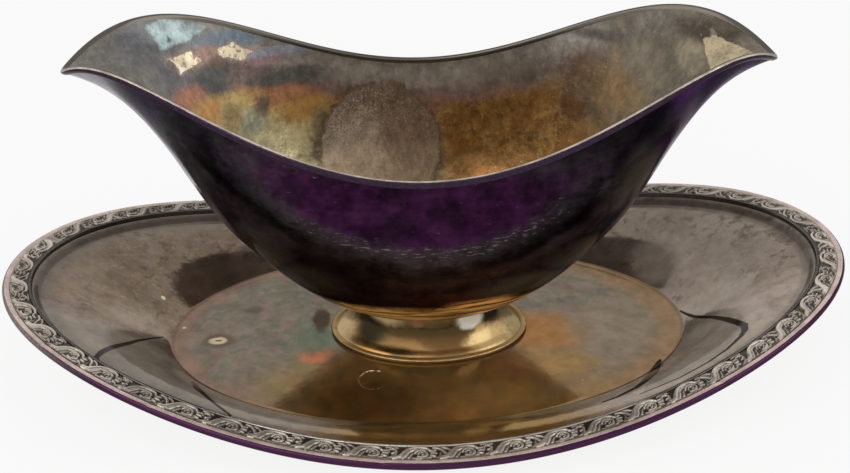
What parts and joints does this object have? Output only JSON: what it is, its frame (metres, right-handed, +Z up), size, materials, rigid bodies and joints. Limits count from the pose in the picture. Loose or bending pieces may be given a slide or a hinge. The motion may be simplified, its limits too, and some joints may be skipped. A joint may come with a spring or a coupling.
{
  "type": "sauce boat",
  "caption": "Oval metal sauce boat with a pouring lip at each end, on a flared oval foot fixed to an oval stand with swept-up ends and a leaf scroll border.",
  "frame": {"origin": "centre of the stand's flat underside, on the table plane", "axes": "+X along the stand towards one lip, +Y across the stand, +Z up; the picture is taken from about -Y"},
  "size_m": [0.24, 0.1404, 0.0917],
  "materials": {
    "bowl_plate": "polished, dark tarnish",
    "rim_plate": "polished, rubbed",
    "foot_plate": "polished, yellow tarnish",
    "foot_wire_plate": "polished, yellow tarnish",
    "stand_plate": "polished, grey tarnish",
    "border_plate": "stamped relief, dark in the hollows",
    "edge_plate": "polished, rubbed",
    "bead_plate": "polished, rubbed",
    "fixing_metal": "bare turned brass"
  },
  "bodies": {
    "root": {"stand": "stand_plate", "edge_wire": "edge_plate", "border": "border_plate", "bead_wire": "bead_plate", "bowl": "bowl_plate", "rim_wire": "rim_plate", "foot": "foot_plate", "foot_wire": "foot_wire_plate", "boss": "fixing_metal", "stud": "fixing_metal", "washer": "fixing_metal", "nut": "fixing_metal"}
  },
  "joints": []
}
